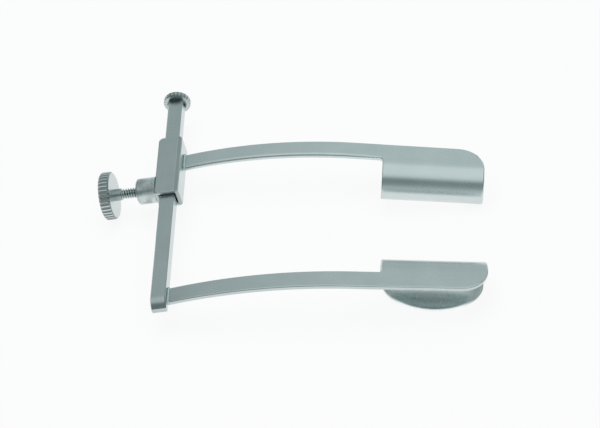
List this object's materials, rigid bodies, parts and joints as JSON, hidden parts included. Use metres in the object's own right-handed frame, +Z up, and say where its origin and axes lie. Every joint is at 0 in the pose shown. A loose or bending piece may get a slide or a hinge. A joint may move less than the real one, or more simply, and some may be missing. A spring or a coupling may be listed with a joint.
{
  "type": "self retaining retractor",
  "caption": "Small surgical retractor: a fixed arm and a sliding arm with hooked half-moon blades on a flat rail, held by a knurled thumb screw.",
  "frame": {"origin": "on the table under the middle of the instrument, with the arms as far apart as in the picture", "axes": "+X from the rail to the blades, +Y along the rail from the fixed arm to the stop, +Z up from the table"},
  "size_m": [0.077, 0.0568, 0.0104],
  "materials": {
    "satin_steel": "satin",
    "turned_steel": "fine turned"
  },
  "bodies": {
    "frame": {"rail": "satin_steel", "fixed_arm": "satin_steel", "stop_screw": "turned_steel"},
    "slider": {"sleeve": "satin_steel", "boss": "turned_steel", "moving_arm": "satin_steel"},
    "screw": {"screw_head": "turned_steel", "screw_spindle": "turned_steel"}
  },
  "joints": [
    {"name": "slider_travel", "type": "slide", "parent": "frame", "child": "slider", "axis": [0, 1, 0], "range_m": [-0.0174, 0.0115]},
    {"name": "screw_turn", "type": "hinge", "parent": "slider", "child": "screw", "pos_m": [-0.03416, 0.00345, 0.00525], "axis": [0.9892, 0, 0.1468], "range_deg": [-1080, 0]}
  ]
}
